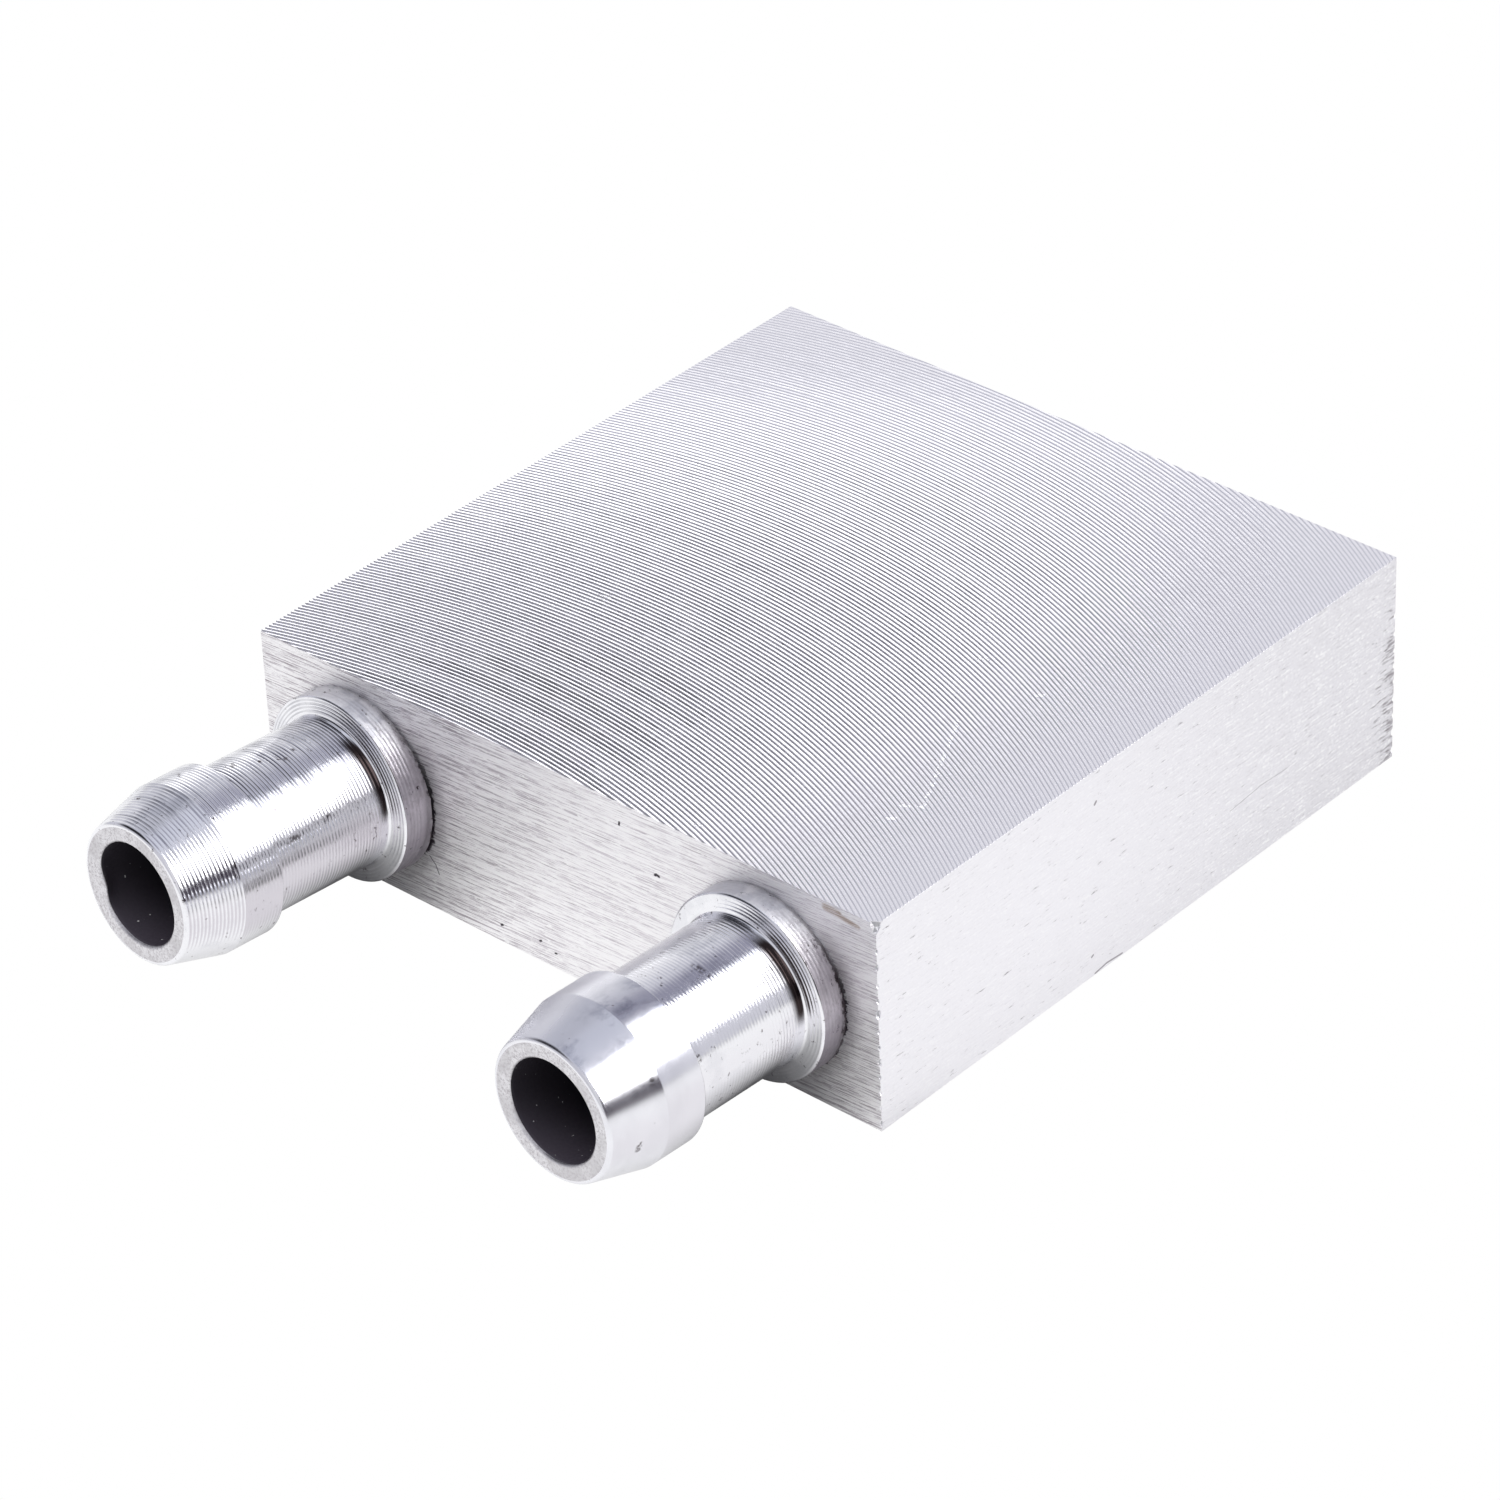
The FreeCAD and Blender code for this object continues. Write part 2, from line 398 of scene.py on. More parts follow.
def add_floor():
    """Paper: plain white to the camera, and to the metal darker in the corners by the collars."""
    half = FLOOR_HALF
    corners = [(-half, -half, 0), (half, -half, 0), (half, half, 0), (-half, half, 0)]
    mesh = bpy.data.meshes.new("floor")
    mesh.from_pydata(corners, [], [(0, 1, 2, 3)])
    floor = new_object("floor", mesh)
    floor.location.z = -FLOOR_DROP
    material = bpy.data.materials.new("floor")
    material.use_nodes = True
    nodes = Nodes(material.node_tree)
    glow = FLOOR_GLOW
    across, along = FLOOR_SHADE
    for side in ("inlet", "outlet"):
        corner = Vector((mounts[side + "_hose_barb"]["pos_m"][0], block_low.y, 0))
        place = nodes.vector_maths("SUBTRACT", nodes.place(), corner)
        oval = nodes.vector_maths("MULTIPLY", place, (1 / across, 1 / along, 0))
        away = nodes.vector_maths("LENGTH", oval)
        glow = nodes.maths("MULTIPLY", glow, nodes.band(away, 0.2, 1.0, FLOOR_SHADED, 1.0))
    far = nodes.vector_maths("LENGTH", nodes.place())
    glow = nodes.maths("MULTIPLY", glow, nodes.band(far, *FLOOR_FADE, 1.0, FLOOR_FAR))
    paper = material.node_tree.nodes["Principled BSDF"]
    nodes.set(paper, {
        "Base Color": PAPER,
        "Roughness": 0.9,
        "Specular IOR Level": 0.0,
        "Emission Color": WHITE,
        "Emission Strength": glow,
    })
    white = nodes.add("ShaderNodeEmission", {"Color": WHITE, "Strength": 1.0})
    seen = nodes.add("ShaderNodeLightPath").outputs["Is Camera Ray"]
    both = nodes.add("ShaderNodeMixShader", {0: seen, 1: paper.outputs[0], 2: white.outputs[0]})
    nodes.set(material.node_tree.nodes["Material Output"], {"Surface": both.outputs[0]})
    mesh.materials.append(material)


# Material helpers

class Nodes:
    """Short way to write a node tree: each call adds one node or a few and links what it is given."""

    def __init__(self, tree):
        self.tree = tree

    def set(self, node, inputs):
        for key, value in inputs.items():
            if isinstance(value, bpy.types.NodeSocket):
                self.tree.links.new(value, node.inputs[key])
            else:
                node.inputs[key].default_value = value

    def add(self, kind, inputs=None, **settings):
        node = self.tree.nodes.new(kind)
        for key, value in settings.items():
            setattr(node, key, value)
        self.set(node, inputs or {})
        return node

    def maths(self, operation, *values, clamp=False):
        node = self.add("ShaderNodeMath", dict(enumerate(values)), operation=operation, use_clamp=clamp)
        return node.outputs[0]

    def vector_maths(self, operation, *vectors):
        """Gives a number where the operation has one as its result, and otherwise a vector."""
        node = self.add("ShaderNodeVectorMath", dict(enumerate(vectors)), operation=operation)
        is_number = operation in ("DOT_PRODUCT", "DISTANCE", "LENGTH")
        return node.outputs["Value" if is_number else "Vector"]

    def place(self):
        """Object coordinates: metres, in the frame of the part."""
        return self.add("ShaderNodeTexCoord").outputs["Object"]

    def axes(self):
        """X, Y and Z of the place, in metres, under those names."""
        return self.add("ShaderNodeSeparateXYZ", {0: self.place()}).outputs

    def stretched(self, scale, angle=0.0, about="Z"):
        """Object coordinates turned about one axis, then scaled: finest where the scale is largest."""
        turn = [0.0, 0.0, 0.0]
        turn["XYZ".index(about)] = angle
        first = self.add("ShaderNodeMapping", {"Vector": self.place(), "Rotation": turn})
        second = self.add("ShaderNodeMapping", {"Vector": first.outputs[0], "Scale": scale})
        return second.outputs[0]

    def noise(self, vector, detail=2.0, roughness=0.5):
        node = self.add(
            "ShaderNodeTexNoise",
            {"Vector": vector, "Scale": 1.0, "Detail": detail, "Roughness": roughness},
        )
        return node.outputs["Fac"]

    def band(self, value, low, high, to_low=0.0, to_high=1.0):
        """Goes smoothly from one result to the other while the value goes from low to high."""
        node = self.add(
            "ShaderNodeMapRange",
            {"Value": value, "From Min": low, "From Max": high, "To Min": to_low, "To Max": to_high},
            interpolation_type="SMOOTHSTEP",
        )
        return node.outputs[0]

    def mix(self, factor, first, second, **settings):
        node = self.add("ShaderNodeMix", data_type="RGBA", **settings)
        self.set(node, {0: factor, 6: first, 7: second})
        return node.outputs[2]

    def attribute(self, name):
        return self.add("ShaderNodeAttribute", attribute_name=name).outputs["Fac"]

    def facing(self, aim):
        """How far the surface faces a direction: 1 straight into it, -1 away from it."""
        normal = self.add("ShaderNodeNewGeometry").outputs["Normal"]
        return self.vector_maths("DOT_PRODUCT", normal, Vector(aim).normalized())

    def line(self, start, end, width):
        """1 along a straight line in space and 0 beyond its width, with soft sides."""
        run = end - start
        reach = self.vector_maths("SUBTRACT", self.place(), start)
        ahead = self.vector_maths("DOT_PRODUCT", reach, run / run.length_squared)
        share = self.maths("ADD", ahead, 0.0, clamp=True)
        foot = self.add("ShaderNodeVectorMath", {0: run, "Scale": share}, operation="SCALE").outputs[0]
        away = self.vector_maths("DISTANCE", reach, foot)
        return self.band(away, width * 0.3, width, 1.0, 0.0)

    def marks(self, marks):
        """Scratches, nicks and pits: each is its width and the points it runs through, in millimetres."""
        mask = 0.0
        for width, *points in marks:
            for start, end in zip(points, points[1:]):
                line = self.line(Vector(start) * MM, Vector(end) * MM, width * MM)
                mask = self.maths("MAXIMUM", mask, line)
        return mask

    def barb_marks(self, side):
        """Marks on one barb, placed by their angle, distance and radius, and broken up."""
        placing = barb_matrix(side)
        placed = []
        for width, *points in BARB_MARKS[side]:
            spots = []
            for degrees, distance, radius in points:
                angle = math.radians(degrees)
                spot = Vector((radius * math.cos(angle), radius * math.sin(angle), distance)) * MM
                spots.append(placing @ spot / MM)
            placed.append((width * BARB_MARK_WIDENING, *spots))
        broken = self.noise(self.stretched((3400, 3400, 3400)), detail=3, roughness=0.7)
        return self.maths("MULTIPLY", self.marks(placed), self.band(broken, 0.46, 0.56, 0.0, 0.85))

    def bump(self, height, distance, normal=None):
        inputs = {"Height": height, "Distance": distance, "Strength": 1.0}
        if normal is not None:
            inputs["Normal"] = normal
        return self.add("ShaderNodeBump", inputs).outputs[0]


def new_material(name):
    """A material and the short way to write its nodes, with its shader at hand."""
    material = bpy.data.materials.new(name)
    material.use_nodes = True
    nodes = Nodes(material.node_tree)
    nodes.material = material
    nodes.shader = material.node_tree.nodes["Principled BSDF"]
    return nodes


def metal(name, colour, roughness):
    """Metal with the plain colour and roughness that show where nothing finer is linked."""
    nodes = new_material(name)
    nodes.shader.inputs["Metallic"].default_value = 1.0
    nodes.shader.inputs["Base Color"].default_value = (*colour, 1)
    nodes.shader.inputs["Roughness"].default_value = roughness
    return nodes


# Materials

def fly_cut_material():
    """Contact face: bright metal with nicks and one dotted, bent scratch."""
    nodes = metal("fly_cut_aluminium", (0.90, 0.89, 0.93), 0.18)
    grain = nodes.noise(nodes.stretched((900, 9000, 900)), detail=3)
    dots = nodes.noise(nodes.stretched((2400, 2400, 2400)), detail=2)
    scratch = nodes.marks([TOP_SCRATCH])
    scratch = nodes.maths("MULTIPLY", scratch, nodes.band(dots, 0.47, 0.55))
    nicks = nodes.maths("MAXIMUM", nodes.marks(TOP_NICKS), scratch)
    nodes.set(nodes.shader, {"Base Color": nodes.mix(nicks, FLY_CUT, WHITE)})
    rough = nodes.band(grain, 0.3, 0.7, 0.14, 0.24)
    rough = nodes.maths("MULTIPLY_ADD", nicks, 0.75, rough)
    nodes.set(nodes.shader, {"Roughness": rough})
    smooth = nodes.bump(grain, 0.0015 * MM)
    nodes.set(nodes.shader, {"Normal": nodes.bump(nicks, 0.02 * MM, smooth)})
    return nodes.material


def linished_material():
    """Front face, drawn over a belt: dense streaks that rise to the right, roughest at its ends."""

    def streak(scale, steeper, detail, roughness):
        turned = nodes.stretched(scale, BRUSHING_ANGLE * steeper, "Y")
        return nodes.noise(turned, detail=detail, roughness=roughness)

    nodes = metal("linished_aluminium", (0.92, 0.91, 0.92), 0.45)
    fine = streak((100, 900, 12000), 1.0, 4, 0.75)
    short = streak((380, 900, 15000), 1.6, 4, 0.75)
    broad = streak((240, 900, 3200), 1.3, 4, 0.6)
    grain = streak((1300, 900, 9000), 1.0, 3, 0.7)
    streaks = nodes.maths("MULTIPLY_ADD", fine, 0.4, nodes.maths("MULTIPLY", short, 0.34))
    streaks = nodes.maths("MULTIPLY_ADD", broad, 0.13, streaks)
    streaks = nodes.maths("MULTIPLY_ADD", grain, 0.13, streaks)
    axes = nodes.axes()
    left_end = nodes.band(axes["X"], -9 * MM, 2 * MM, 1.0, 0.45)
    right_end = nodes.band(axes["X"], 13 * MM, 18 * MM)
    right_end = nodes.maths("MULTIPLY", right_end, nodes.band(axes["Z"], 3 * MM, 12 * MM, 0.9, 0.0))
    coarse = nodes.maths("MAXIMUM", left_end, right_end)
    dull = nodes.mix(coarse, LINISHED_DULL, LINISHED_COARSE)
    colour = nodes.mix(nodes.band(streaks, 0.445, 0.515), dull, LINISHED_BRIGHT)
    scores = nodes.maths("MULTIPLY", nodes.band(short, 0.36, 0.42, 1.0, 0.0), coarse)
    colour = nodes.mix(scores, colour, LINISHED_SCORE)
    # Painted glints: white flecks along the grain
    colour = nodes.mix(nodes.band(grain, 0.56, 0.64), colour, WHITE)
    smear = nodes.marks(FRONT_SMEARS)
    smear = nodes.maths("MULTIPLY", smear, nodes.band(short, 0.42, 0.54, 0.1, 0.9))
    colour = nodes.mix(smear, colour, BROWN_SMEAR)
    ragged = nodes.noise(nodes.stretched((2600, 2600, 2600)), detail=4, roughness=0.75)
    # Painted shadow line and shade on the block beside each collar
    for side in ("inlet", "outlet"):
        colour = nodes.mix(collar_painted_shade(nodes, side, ragged), colour, PIT_AND_SHADE_BLACK)
    pits = nodes.marks(FRONT_PITS)
    colour = nodes.mix(pits, colour, PIT_AND_SHADE_BLACK)
    nodes.set(nodes.shader, {"Base Color": colour})
    nodes.set(nodes.shader, {"Roughness": nodes.band(streaks, 0.35, 0.65, 0.40, 0.55)})
    height = nodes.maths("SUBTRACT", streaks, pits)
    nodes.set(nodes.shader, {"Normal": nodes.bump(height, 0.045 * MM)})
    return nodes.material


def collar_painted_shade(nodes, side, ragged):
    """Painted shadow line and painted shade on the block along the right side of a collar, with ragged
    edges.
    """
    from_collar = nodes.vector_maths("SUBTRACT", nodes.place(), barb_matrix(side).translation)
    away = nodes.vector_maths("LENGTH", from_collar)
    right = nodes.vector_maths("DOT_PRODUCT", from_collar, COLLAR_SHADE_SIDE)
    right = nodes.band(right, 1.8 * MM, 5.0 * MM)
    away = nodes.maths("MULTIPLY_ADD", ragged, 1.0 * MM, away)
    line = nodes.band(away, COLLAR_RADIUS + 0.44 * MM, COLLAR_RADIUS + 0.58 * MM, 1.0, 0.0)
    shade = nodes.band(away, COLLAR_RADIUS + 0.4 * MM, COLLAR_RADIUS + 1.7 * MM, 0.4, 0.0)
    return nodes.maths("MULTIPLY", nodes.maths("MAXIMUM", line, shade), right)


def satin_material():
    """Sawn sides, bright and even, with short fine streaks; the right one is worn and torn at the back,
    with painted shade growing towards its back.
    """
    nodes = metal("satin_aluminium", (0.86, 0.85, 0.88), 0.4)
    turned = nodes.stretched((700, 700, 9000), math.radians(1.5), "X")
    along_y = nodes.noise(turned, detail=4, roughness=0.65)
    grain = nodes.noise(nodes.stretched((5000, 5000, 9000)), detail=2)
    streaks = nodes.maths("MULTIPLY_ADD", along_y, 0.6, nodes.maths("MULTIPLY", grain, 0.4))
    axes = nodes.axes()
    on_right = nodes.band(axes["X"], 16 * MM, 19.8 * MM)
    worn = nodes.maths("MULTIPLY", nodes.band(axes["Y"], -10 * MM, 20 * MM), on_right)
    # Painted shade: the right side grows darker towards its back
    even = nodes.mix(worn, SATIN_EVEN, SATIN_SHADED_BACK)
    dark = nodes.band(streaks, 0.40, 0.47, 1.0, 0.0)
    dark = nodes.maths("MULTIPLY", dark, nodes.band(worn, 0, 1, 0.06, 0.16))
    light = nodes.band(streaks, 0.53, 0.6)
    light = nodes.maths("MULTIPLY", light, nodes.band(worn, 0, 1, 0.3, 0.7))
    colour = nodes.mix(dark, even, SATIN_STREAK)
    colour = nodes.mix(light, colour, WHITE)
    tear = nodes.noise(nodes.stretched((900, 900, 5200)), detail=5, roughness=0.7)
    edge = nodes.band(axes["Y"], 17.6 * MM, 20 * MM)
    edge = nodes.maths("MULTIPLY", edge, nodes.band(axes["Z"], 5 * MM, 11 * MM, 1.0, 0.25))
    edge = nodes.maths("MULTIPLY", edge, on_right)
    torn = nodes.band(nodes.maths("MULTIPLY_ADD", edge, 0.16, tear), 0.60, 0.74)
    colour = nodes.mix(torn, colour, SATIN_TORN)
    nodes.set(nodes.shader, {"Roughness": nodes.band(streaks, 0.3, 0.7, 0.36, 0.5)})
    pits = nodes.marks(SIDE_PITS)
    colour = nodes.mix(pits, colour, SATIN_PIT)
    nodes.set(nodes.shader, {"Base Color": colour})
    height = nodes.maths("SUBTRACT", streaks, nodes.maths("MAXIMUM", torn, pits))
    nodes.set(nodes.shader, {"Normal": nodes.bump(height, 0.01 * MM)})
    return nodes.material


def inside_material():
    """Milled walls of the channel and the ports."""
    nodes = metal("milled_inside", (0.5, 0.5, 0.52), 0.4)
    marks = nodes.noise(nodes.stretched((1500, 1500, 1500)), detail=3)
    nodes.set(nodes.shader, {"Roughness": nodes.band(marks, 0.3, 0.7, 0.3, 0.5)})
    return nodes.material


def ringed(nodes, bright, dark, specks_from, under):
    """Colour of a turned surface: painted shade down in its rings, strongest on its top; blotches along
    its top, partly scuffing and partly painted darker reflection; painted shade on its right by the share
    under; and dark specks."""
    # Painted shade in the ring valleys, stronger on the top and broken up by clouds
    dip = nodes.band(nodes.attribute("dip"), 0.85, 1.15)
    cloud = nodes.noise(nodes.stretched((500, 900, 500)), detail=3)
    top = nodes.band(nodes.facing(UP), 0.5, 0.9, 0.42, 1.0)
    dip = nodes.maths("MULTIPLY", dip, top)
    dip = nodes.maths("MULTIPLY", dip, nodes.band(cloud, 0.35, 0.6, 0.5, 1.0))
    colour = nodes.mix(dip, bright, dark)
    # Blotches along the top: partly scuffing, partly painted darker reflection
    scuffs_and_top_shade = nodes.noise(nodes.stretched((420, 300, 420)), detail=4, roughness=0.6)
    scuffs_and_top_shade = nodes.maths("MULTIPLY", nodes.band(scuffs_and_top_shade, 0.5, 0.62, 0.0, 0.4), top)
    colour = nodes.mix(scuffs_and_top_shade, colour, SCUFF_AND_TOP_SHADE)
    # Painted shade on the right and underside
    low = nodes.band(nodes.facing(RIGHT), 0.88, 0.99, 0.0, under)
    colour = nodes.mix(low, colour, UNDERSIDE_SHADE)
    dirt = nodes.noise(nodes.stretched((1900, 2900, 1900)), detail=5, roughness=0.75)
    specks = nodes.band(dirt, specks_from, specks_from + 0.06)
    return nodes.mix(specks, colour, SPECK)


def barb_material(name, side, smoothest, roughest, under):
    """Turned metal of one barb, with a painted dark reflection curved round the root of its neck."""
    nodes = metal(name, (0.86, 0.86, 0.89), smoothest)
    colour = ringed(nodes, TURNED_BRIGHT, TURNED_RING_SHADE, 0.615, under)
    axes = nodes.axes()
    root_y = barb_matrix(side).translation.y - COLLAR_THICKNESS
    root = nodes.band(axes["Y"], root_y - 1.1 * MM, root_y - 0.6 * MM)
    # Painted dark reflection: an arc on the upper right at the root of the neck
    root_reflection = nodes.maths("MULTIPLY", root, nodes.band(nodes.facing(ROOT_REFLECTION_SIDE), 0.76, 0.89))
    colour = nodes.mix(root_reflection, colour, ROOT_DARK_REFLECTION)
    colour = nodes.mix(nodes.barb_marks(side), colour, BARB_MARK)
    nodes.set(nodes.shader, {"Base Color": colour})
    marks = nodes.noise(nodes.stretched((2500, 9000, 2500)), detail=3)
    nodes.set(nodes.shader, {"Roughness": nodes.band(marks, 0.3, 0.7, smoothest, roughest)})
    nodes.set(nodes.shader, {"Normal": nodes.bump(marks, 0.001 * MM)})
    return nodes.material


def bulb_material(side):
    """Smooth bulb: satin, with soft clouds, a top worn and painted darker as reflection, and hardly
    any turning marks.
    """
    nodes = metal("satin_bulb", (0.85, 0.85, 0.89), 0.3)
    cloud = nodes.noise(nodes.stretched((260, 420, 260)), detail=5, roughness=0.6)
    colour = nodes.mix(nodes.band(cloud, 0.4, 0.62), BULB_DULL, BULB_BRIGHT)
    top = nodes.band(nodes.facing(UPPER_RIGHT), 0.82, 0.98)
    # Top darkened in blotches: partly wear, partly painted darker reflection
    worn_and_shaded_top = nodes.noise(nodes.stretched((420, 260, 420)), detail=5, roughness=0.65)
    worn_and_shaded_top = nodes.maths("MULTIPLY", nodes.band(worn_and_shaded_top, 0.40, 0.58, 0.2, 0.95), top)
    colour = nodes.mix(worn_and_shaded_top, colour, BULB_WORN_AND_SHADE)
    # Painted shade on the right and underside
    under = nodes.band(nodes.facing(RIGHT), 0.88, 0.99, 0.0, 0.45)
    colour = nodes.mix(under, colour, UNDERSIDE_SHADE)
    dirt = nodes.noise(nodes.stretched((2300, 2900, 2300)), detail=5, roughness=0.75)
    colour = nodes.mix(nodes.band(dirt, 0.66, 0.74), colour, BULB_SPECK)
    colour = nodes.mix(nodes.barb_marks(side), colour, BARB_MARK)
    nodes.set(nodes.shader, {"Base Color": colour})
    rough = nodes.band(cloud, 0.3, 0.7, 0.18, 0.23)
    left = nodes.band(nodes.facing(LEFT), 0.2, 0.8, 0.0, 0.25)
    nodes.set(nodes.shader, {"Roughness": nodes.maths("ADD", rough, left)})
    return nodes.material


def collar_material():
    """Side of a collar: blotched, with painted shade towards its lower right, a painted dark reflection
    band on its right, and a painted black shadow line along the block there.
    """
    nodes = metal("collar_aluminium", (0.74, 0.72, 0.74), 0.45)
    colour = ringed(nodes, COLLAR_BRIGHT, COLLAR_RING_SHADE, 0.61, 0.3)
    # Painted shade towards the lower right, in two steps
    shaded = nodes.facing(LOWER_RIGHT)
    grey = nodes.mix(nodes.band(shaded, -0.35, 0.3), WHITE, COLLAR_SHADED)
    grey = nodes.mix(nodes.band(shaded, 0.5, 1.0), grey, COLLAR_UNDER_SHADE)
    mottled = nodes.noise(nodes.stretched((1800, 3200, 1800)), detail=5, roughness=0.8)
    blotches = nodes.band(mottled, 0.45, 0.62)
    blotches = nodes.maths("MULTIPLY", blotches, nodes.band(shaded, -0.7, 0.0, 0.1, 0.6))
    grey = nodes.mix(blotches, grey, COLLAR_BLOTCH)
    # Painted dark reflection: a narrow band along the right of the collar
    streak = nodes.band(nodes.facing(DARK_REFLECTION_SIDE), 0.93, 0.995, 0.0, 0.4)
    grey = nodes.mix(streak, grey, COLLAR_DARK_REFLECTION)
    axes = nodes.axes()
    # Painted shadow: a ragged black line at the back of the collar, along the block, on its right
    gap_shadow = nodes.maths("MULTIPLY_ADD", mottled, 0.8 * MM, axes["Y"])
    gap_shadow = nodes.band(gap_shadow, block_low.y + 0.08 * MM, block_low.y + 0.18 * MM)
    gap_shadow_side = nodes.band(nodes.facing(GAP_SHADOW_SIDE), 0.1, 0.7, 0.1, 1.0)
    gap_shadow = nodes.maths("MULTIPLY", gap_shadow, gap_shadow_side)
    grey = nodes.mix(gap_shadow, grey, COLLAR_GAP_SHADOW)
    colour = nodes.mix(1.0, colour, grey, blend_type="MULTIPLY")
    nodes.set(nodes.shader, {"Base Color": colour})
    cloud = nodes.noise(nodes.stretched((1600, 4000, 1600)), detail=3)
    nodes.set(nodes.shader, {"Roughness": nodes.band(cloud, 0.3, 0.7, 0.36, 0.52)})
    nodes.set(nodes.shader, {"Normal": nodes.bump(mottled, 0.01 * MM)})
    return nodes.material


def tip_material():
    """Faced end of a barb: dull and finely pitted."""
    nodes = metal("faced_tip", (0.80, 0.79, 0.81), 0.5)
    pits = nodes.noise(nodes.stretched((7000, 7000, 7000)), detail=4, roughness=0.8)
    clouds = nodes.noise(nodes.stretched((700, 700, 700)), detail=3)
    colour = nodes.mix(nodes.band(clouds, 0.38, 0.6), TIP_DULL, TIP_BRIGHT)
    colour = nodes.mix(nodes.band(pits, 0.42, 0.66), colour, TIP_PIT)
    nodes.set(nodes.shader, {"Base Color": colour})
    nodes.set(nodes.shader, {"Roughness": nodes.band(clouds, 0.3, 0.7, 0.4, 0.55)})
    nodes.set(nodes.shader, {"Normal": nodes.bump(pits, -0.006 * MM)})
    return nodes.material


def bore_material():
    """Bore of a barb: painted nearly black for the shade inside it, with a little dust."""
    nodes = new_material("bore")
    nodes.shader.inputs["Specular IOR Level"].default_value = 0.3
    dust = nodes.noise(nodes.stretched((5200, 5200, 5200)), detail=1)
    specks = nodes.band(dust, 0.76, 0.80)
    # Painted shade: the bore is coloured nearly black
    nodes.set(nodes.shader, {"Base Color": nodes.mix(specks, BORE_SHADE_BLACK, BORE_DUST)})
    nodes.set(nodes.shader, {"Roughness": nodes.band(dust, 0.3, 0.7, 0.5, 0.7)})
    return nodes.material


def seal_material():
    """Cured compound: black, matt and lumpy."""
    nodes = new_material("sealing_compound")
    nodes.shader.inputs["Base Color"].default_value = SEALANT
    lumps = nodes.noise(nodes.stretched((1800, 1800, 1800)), detail=3)
    nodes.set(nodes.shader, {"Roughness": nodes.band(lumps, 0.3, 0.7, 0.5, 0.8)})
    nodes.set(nodes.shader, {"Normal": nodes.bump(lumps, 0.03 * MM)})
    return nodes.material


# Block

def groove_strength(x, y):
    """How deep the fly cutter bit: deepest at the front, near the middle."""
    along = min(max((y - block_low.y) / (block_high.y - block_low.y), 0), 1)
    from_deepest = x - (BITE_DRIFT * along + BITE_FRONT_X) * MM
    spread = BITE_RIGHT * MM if from_deepest > 0 else (BITE_LEFT - BITE_LEFT_LOSS * along) * MM
    return (1 - BITE_LOSS * along ** BITE_LOSS_POWER) * math.exp(-(from_deepest / spread) ** 2)


def fly_cutter():
    """Solid whose underside is the negative of the grooved face. The block is cut with it."""
    shuffle = random.Random(GROOVE_SEED)
    top = block_high.z
    half = block_high.x + CUTTER_OVERHANG
    columns = [-half + 2 * half * i / GROOVE_COLUMNS for i in range(GROOVE_COLUMNS + 1)]
    arcs = [math.sqrt(GROOVE_RADIUS ** 2 - (x - GROOVE_CENTRE_X) ** 2) for x in columns]
    start = block_low.y - CUTTER_OVERHANG - max(arcs)
    grooves = math.ceil((block_high.y + CUTTER_OVERHANG - min(arcs) - start) / GROOVE_PITCH)
    vertices = []
    for groove in range(grooves):
        uneven = shuffle.uniform(*GROOVE_UNEVEN)
        for share, deep in GROOVE_PROFILE:
            for x, arc in zip(columns, arcs):
                y = start + (groove + share) * GROOVE_PITCH + arc
                depth = GROOVE_DEPTH * uneven * deep * groove_strength(x, y)
                vertices.append((x, y, top - CREST_INSET - depth))
    rows = grooves * len(GROOVE_PROFILE)
    width = len(columns)
    faces = []
    for row in range(rows - 1):
        for column in range(width - 1):
            corner = row * width + column
            faces.append((corner, corner + width, corner + width + 1, corner + 1))
    lid = len(vertices)
    lid_height = top + CUTTER_OVERHANG
    vertices += [(x, start + arc, lid_height) for x, arc in zip(columns, arcs)]
    last = (rows - 1) * width
    vertices += [(x, vertices[last + i][1], lid_height) for i, x in enumerate(columns)]
    for i in range(width - 1):
        faces.append((lid + i, lid + i + 1, lid + width + i + 1, lid + width + i))
        faces.append((i, i + 1, lid + i + 1, lid + i))
        faces.append((last + i + 1, last + i, lid + width + i, lid + width + i + 1))
    left = [row * width for row in range(rows)]
    right = [row * width + width - 1 for row in range(rows)]
    faces.append((*left, lid + width, lid))
    faces.append((*reversed(right), lid + width - 1, lid + 2 * width - 1))
    mesh = bpy.data.meshes.new("fly_cutter")
    mesh.from_pydata(vertices, [], faces)
    editing = bmesh.new()
    editing.from_mesh(mesh)
    bmesh.ops.recalc_face_normals(editing, faces=editing.faces)
    editing.to_mesh(mesh)
    editing.free()
    return new_object("fly_cutter", mesh)


def cut(piece, tool):
    """Takes the tool's shape off the piece for good and deletes the tool."""
    boolean = piece.modifiers.new("cut", "BOOLEAN")
    boolean.operation = "DIFFERENCE"
    boolean.solver = "EXACT"
    boolean.object = tool
    graph = bpy.context.evaluated_depsgraph_get()
    result = bpy.data.meshes.new_from_object(piece.evaluated_get(graph))
    piece.modifiers.clear()
    piece.data = result
    bpy.data.objects.remove(tool)


